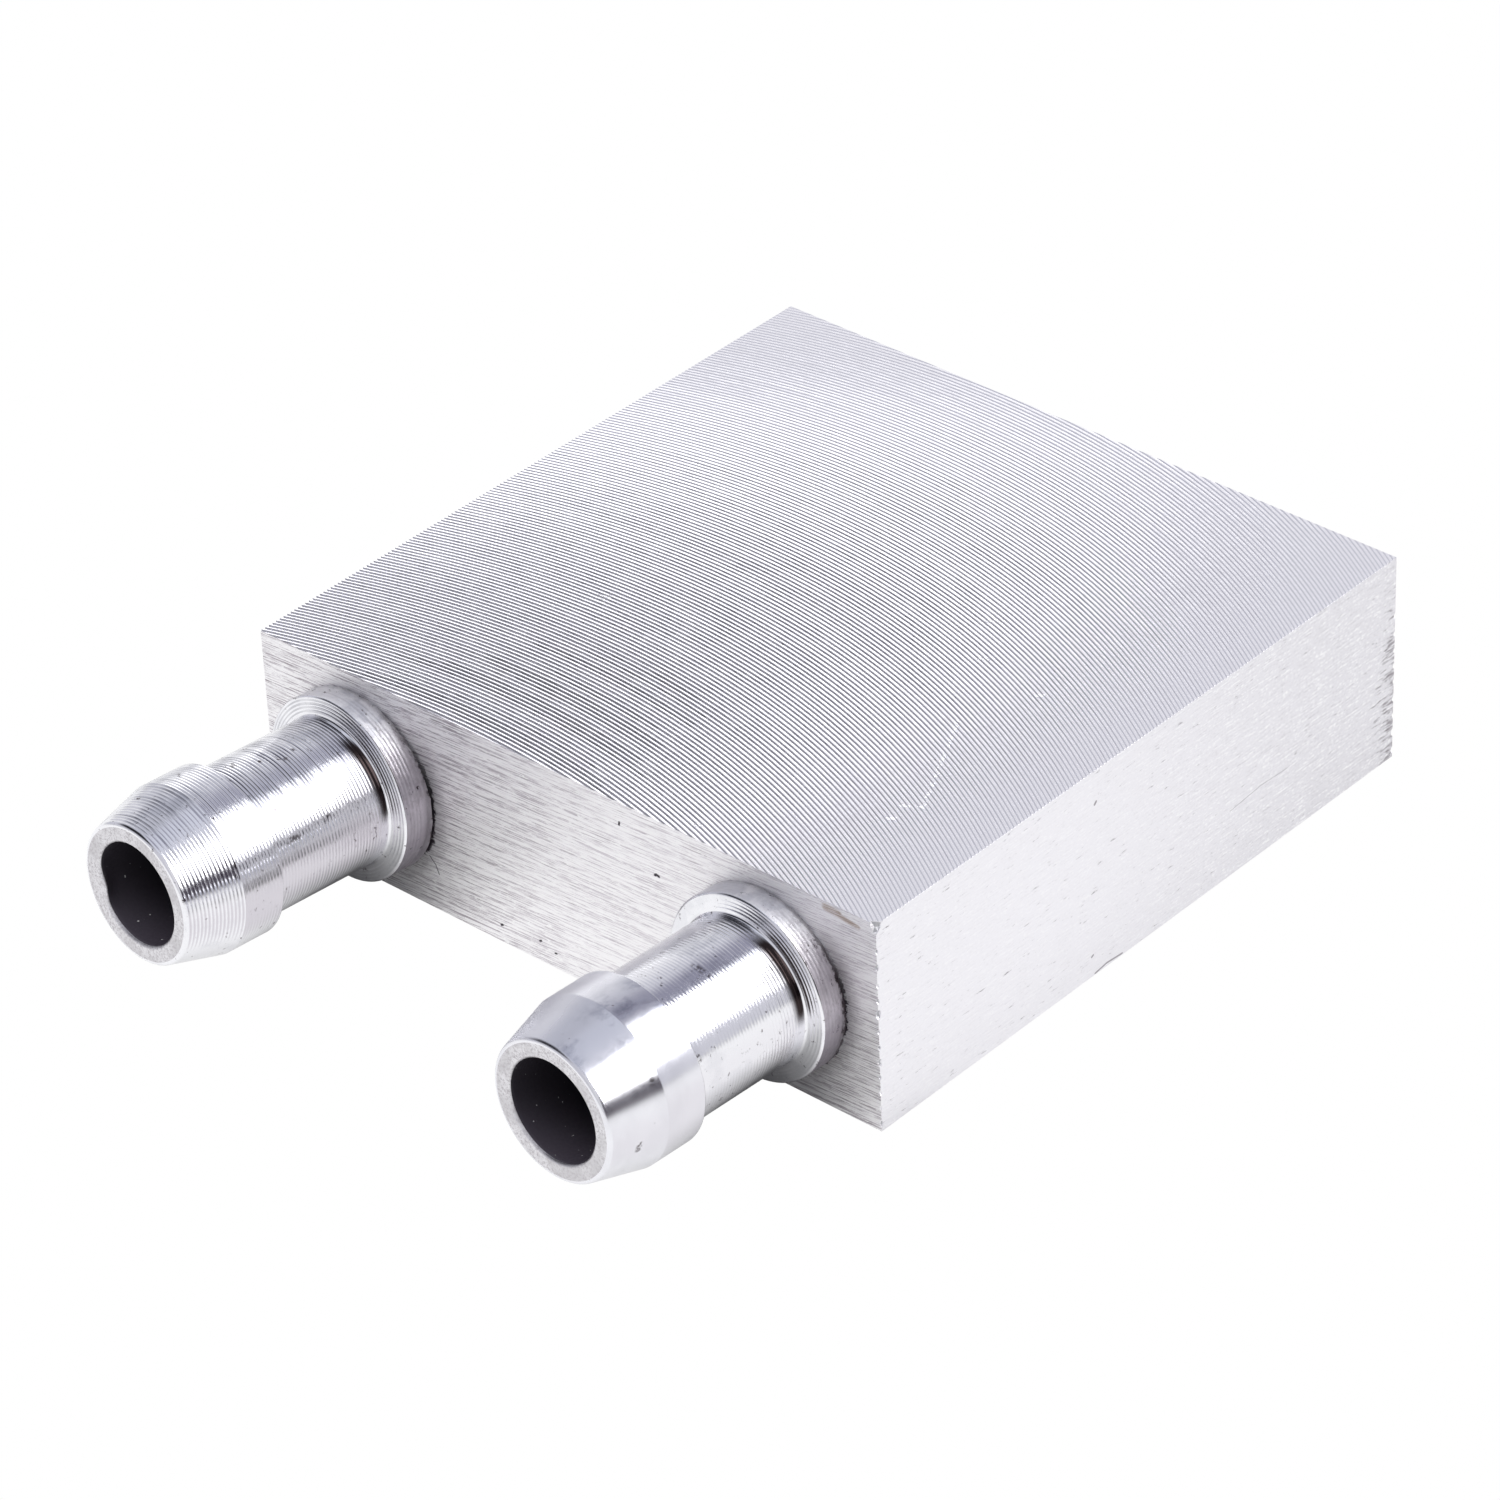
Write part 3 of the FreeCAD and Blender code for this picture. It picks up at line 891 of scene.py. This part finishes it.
def chipper():
    """Small uneven lumps along the upright edges on the right, to be cut out of the block.

    They must not overlap, or the cut leaves nothing of the block.
    """
    shuffle = random.Random(CHIP_SEED)
    editing = bmesh.new()
    for y, count, low, high, largest in CHIPPED_EDGES:
        for i in range(count):
            z = low + (high - low) * (i + 0.5 + shuffle.uniform(-CHIP_JITTER, CHIP_JITTER)) / count
            radius = largest * shuffle.uniform(CHIP_SMALLEST, 1)
            outwards = CHIP_OUTWARDS * radius
            place = Vector((block_high.x + outwards, y + math.copysign(outwards, y), z))
            lump = bmesh.ops.create_icosphere(editing, subdivisions=2, radius=radius)
            for vertex in lump["verts"]:
                vertex.co *= shuffle.uniform(*CHIP_UNEVEN)
                vertex.co.z *= CHIP_STRETCH
                vertex.co += place
    mesh = bpy.data.meshes.new("chipper")
    editing.to_mesh(mesh)
    editing.free()
    return new_object("chipper", mesh)


def welded_copy(node, name):
    """Copy of a CAD node with its faces joined and without its stored normals."""
    mesh = frame["nodes"][node].data.copy()
    mesh.name = name
    mesh.materials.clear()
    editing = bmesh.new()
    editing.from_mesh(mesh)
    bmesh.ops.remove_doubles(editing, verts=editing.verts, dist=WELD_DISTANCE)
    editing.to_mesh(mesh)
    editing.free()
    for layer in list(mesh.attributes):
        if layer.name == "custom_normal":
            mesh.attributes.remove(layer)
    return new_object(name, mesh)


def sharpen_edges(mesh):
    """Moves the corners of the bevels out until the bevels are as narrow as the real ones."""
    for vertex in mesh.vertices:
        for axis in range(3):
            low, high = block_low[axis], block_high[axis]
            if abs(vertex.co[axis] - low - CAD_EDGE_BREAK) < EDGE_TOLERANCE:
                vertex.co[axis] = low + EDGE_BREAK
            if abs(high - CAD_EDGE_BREAK - vertex.co[axis]) < EDGE_TOLERANCE:
                vertex.co[axis] = high - EDGE_BREAK


def block_slot(face):
    """Material slot of a face of the block, told by where it lies and looks."""
    centre = face.center
    if centre.z > block_high.z - TOP_SKIN and face.normal.z > LOOKS_UP:
        return TOP_SLOT
    if centre.y < block_low.y + SIDE_SKIN and abs(face.normal.y) > LOOKS_FORWARD:
        return FRONT_SLOT
    if (
        abs(centre.x) > block_high.x - SIDE_SKIN
        or abs(centre.y) > block_high.y - SIDE_SKIN
        or centre.z < block_low.z + SIDE_SKIN
        or centre.z > block_high.z - SIDE_SKIN
    ):
        return SIDE_SLOT
    return INSIDE_SLOT


def build_block():
    block = welded_copy("channel_block", "machined_block")
    sharpen_edges(block.data)
    cut(block, fly_cutter())
    cut(block, chipper())
    mesh = block.data
    mesh.materials.clear()
    for material in (fly_cut_material(), linished_material(), satin_material(), inside_material()):
        mesh.materials.append(material)
    for face in mesh.polygons:
        face.use_smooth = False
        face.material_index = block_slot(face)
    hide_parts("channel_block")
    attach(block, "root")


# Barbs

def scallop_offset(rings_along, depth, uneven):
    """How far the turned surface lies under its crests, counted in rings along its outline."""
    ring = math.floor(rings_along)
    share = rings_along - ring
    return depth * uneven[ring % len(uneven)] * (1 - (2 * share - 1) ** 2)


def arc(centre, radius, first, last, steps):
    """Points round a centre, with angles in degrees counted from outwards towards the tip."""
    angles = [math.radians(first + (last - first) * i / steps) for i in range(steps + 1)]
    return [(centre[0] + radius * math.sin(a), centre[1] + radius * math.cos(a)) for a in angles]


def barb_outline(bore_radius, land_radius, rings, bulb_rings):
    """Outline of a barb from the inner end of its bore, over its outside, back to its inner end.

    Each stretch is (start, end, depth of its turned rings, slot of its material); a point is
    (distance along the barb, radius).
    """
    bulb_start = NECK_END + SHOULDER_LENGTH
    bulb_end = bulb_start + LAND_LENGTH
    stretches = []

    def run(points, depth, slot):
        for start, end in zip(points, points[1:]):
            stretches.append((start, end, depth, slot))

    nose_centre = (TIP - NOSE_ROUNDING, NOSE_RADIUS - NOSE_ROUNDING)
    nose = arc(nose_centre, NOSE_ROUNDING, 90, NOSE_SLOPE, ROUNDING_STEPS)
    root_centre = (COLLAR_THICKNESS + COLLAR_SLOPE + ROOT_FILLET, NECK_RADIUS + ROOT_FILLET)
    root = arc(root_centre, ROOT_FILLET, 180, 270, ROUNDING_STEPS)
    mouth = [TIP - BORE_BREAK - BURR_DEPTH * (1 - i / BURR_STEPS) for i in range(BURR_STEPS + 1)]
    front_edge = (COLLAR_THICKNESS, COLLAR_RADIUS - COLLAR_BEVEL)
    side_edge = (COLLAR_THICKNESS - COLLAR_BEVEL, COLLAR_RADIUS)
    lead_start = (SHANK_LEAD - SHANK_DEPTH, SHANK_RADIUS)
    lead_end = (-SHANK_DEPTH, SHANK_RADIUS - SHANK_LEAD)
    run([(distance, bore_radius) for distance in [-SHANK_DEPTH] + mouth], 0, BORE)
    run([(TIP - BORE_BREAK, bore_radius), (TIP, bore_radius + BORE_BREAK)], 0, TIP_FACE)
    run([(TIP, bore_radius + BORE_BREAK), nose[0]], bulb_rings * RING_ON_TIP, TIP_FACE)
    run(nose, 0, BULB)
    run([nose[-1], (bulb_end, land_radius)], bulb_rings, BULB)
    run([(bulb_end, land_radius), (bulb_start, land_radius)], bulb_rings, BULB)
    run([(bulb_start, land_radius), (NECK_END, NECK_RADIUS)], 0, BULB)
    run([(NECK_END, NECK_RADIUS), root[0]], rings, TURNED)
    run(root, 0, TURNED)
    run([root[-1], front_edge], rings * RING_ON_COLLAR_FACE, TURNED)
    run([front_edge, side_edge], 0, TURNED)
    run([side_edge, (0, COLLAR_RADIUS)], rings * RING_ON_COLLAR_SIDE, COLLAR_SIDE)
    run([(0, COLLAR_RADIUS), (0, SHANK_RADIUS)], 0, TURNED)
    run([(0, SHANK_RADIUS), lead_start, lead_end, (-SHANK_DEPTH, bore_radius)], 0, TURNED)
    return stretches


def barb_matrix(side):
    """Takes +Z to the barb's axis and the origin to the back of its collar."""
    land = mounts[side + "_hose_barb"]
    axis = Vector(land["axis"]).normalized()
    middle_of_land = NECK_END + SHOULDER_LENGTH + LAND_LENGTH / 2
    back_of_collar = Vector(land["pos_m"]) - axis * middle_of_land
    turn = Vector((0, 0, 1)).rotation_difference(axis).to_matrix().to_4x4()
    return Matrix.Translation(back_of_collar) @ turn


def collar_reach(placing, vertex):
    """How far the back of a leaning collar is drawn out towards the block behind it."""
    clear = block_low.y - (placing @ vertex).y
    return COLLAR_REACH * abs(clear)


def burr(distance, angle, middle, size):
    """How far the burr at the mouth of a bore stands into it."""
    turn = (angle - middle + math.pi) % (2 * math.pi) - math.pi
    depth = (TIP - distance) / BURR_DEPTH
    if size == 0 or depth > 1:
        return 0
    return size * math.exp(-(turn / BURR_SPREAD) ** 2) * (1 - depth) ** 2


def ring_fade(distance, fade_from):
    """Share of their depth that rings keep. They grow shallower from a distance onwards."""
    return max(RING_FADED, min(1, 1 - (distance - fade_from) / NECK_END))


def build_barb(side, seed, materials, rings, bulb_rings, fade_from, burr_middle=0, burr_size=0):
    """Turned barb as a closed grid of rings, with its real grooves, in place of the CAD barb."""
    shuffle = random.Random(seed)
    uneven = [shuffle.uniform(*RING_UNEVEN) for _ in range(RING_VARIETY)]
    bore_radius = mounts[side + "_bore"]["dims"]["r_mm"] * MM
    land_radius = mounts[side + "_hose_barb"]["dims"]["r_mm"] * MM
    rows = []
    for start, end, depth, slot in barb_outline(bore_radius, land_radius, rings, bulb_rings):
        along, out = end[0] - start[0], end[1] - start[1]
        length = math.hypot(along, out)
        inwards = (-out / length, along / length)
        by_bore = start[1] < bore_radius + 2 * BORE_BREAK
        count = max(1, round(length / RING_PITCH)) * RING_STEPS if depth else 1
        for i in range(count):
            share = i / count
            offset = scallop_offset(share * count / RING_STEPS, depth, uneven)
            place = (start[0] + along * share, start[1] + out * share)
            rows.append((place, inwards, offset, slot, by_bore))
    placing = barb_matrix(side)
    vertices, faces, slots, dips = [], [], [], []
    for (distance, radius), inwards, offset, slot, by_bore in rows:
        for i in range(RING_SEGMENTS):
            angle = 2 * math.pi * i / RING_SEGMENTS
            around = RING_ON_SIDES + RING_ON_TOP * math.sin(angle)
            worn = offset * around * ring_fade(distance, fade_from)
            dips.append(worn / RING_FULL_DEPTH)
            standing_in = burr(distance, angle, burr_middle, burr_size) if by_bore else 0
            r = radius + inwards[1] * worn - standing_in
            vertex = Vector((r * math.cos(angle), r * math.sin(angle), distance + inwards[0] * worn))
            if distance == 0:
                vertex.z -= collar_reach(placing, vertex) + COLLAR_RAGGED * shuffle.uniform(*RAGGED_RANGE)
            vertices.append(vertex)
    for row in range(len(rows)):
        following = (row + 1) % len(rows)
        for i in range(RING_SEGMENTS):
            j = (i + 1) % RING_SEGMENTS
            faces.append((
                row * RING_SEGMENTS + i,
                row * RING_SEGMENTS + j,
                following * RING_SEGMENTS + j,
                following * RING_SEGMENTS + i,
            ))
            slots.append(rows[row][3])
    mesh = bpy.data.meshes.new(side + "_turned_barb")
    mesh.from_pydata(vertices, [], faces)
    for material in materials:
        mesh.materials.append(material)
    mesh.attributes.new("dip", "FLOAT", "POINT").data.foreach_set("value", dips)
    mesh.polygons.foreach_set("material_index", slots)
    mesh.polygons.foreach_set("use_smooth", [True] * len(slots))
    mesh.transform(placing)
    editing = bmesh.new()
    editing.from_mesh(mesh)
    bmesh.ops.recalc_face_normals(editing, faces=editing.faces)
    editing.to_mesh(mesh)
    editing.free()
    barb = new_object(side + "_turned_barb", mesh)
    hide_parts(side + "_barb")
    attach(barb, "root")


def dress(node, material):
    """Gives a CAD node a better material in its own slots."""
    piece = frame["nodes"][node]
    for slot in piece.material_slots:
        slot.material = material


add_camera()
add_lights()
add_world()
add_floor()
build_block()
inlet_turned = barb_material("turned_aluminium", "inlet", 0.12, 0.20, 0.85)
outlet_turned = barb_material("soft_turned_aluminium", "outlet", 0.12, 0.19, 0.25)
shared = (bore_material(), collar_material(), tip_material())
inlet_materials = (inlet_turned, *shared, inlet_turned)
outlet_materials = (outlet_turned, *shared, bulb_material("outlet"))
build_barb(
    "inlet",
    INLET_SEED,
    inlet_materials,
    INLET_RINGS,
    INLET_BULB_RINGS,
    INLET_FADE_FROM,
    BURR_ANGLE,
    BURR_HEIGHT,
)
build_barb(
    "outlet",
    OUTLET_SEED,
    outlet_materials,
    OUTLET_RINGS,
    OUTLET_BULB_RINGS,
    OUTLET_FADE_FROM,
)
dress("cover_plate", satin_material())
seal = seal_material()
dress("inlet_seal", seal)
dress("outlet_seal", seal)
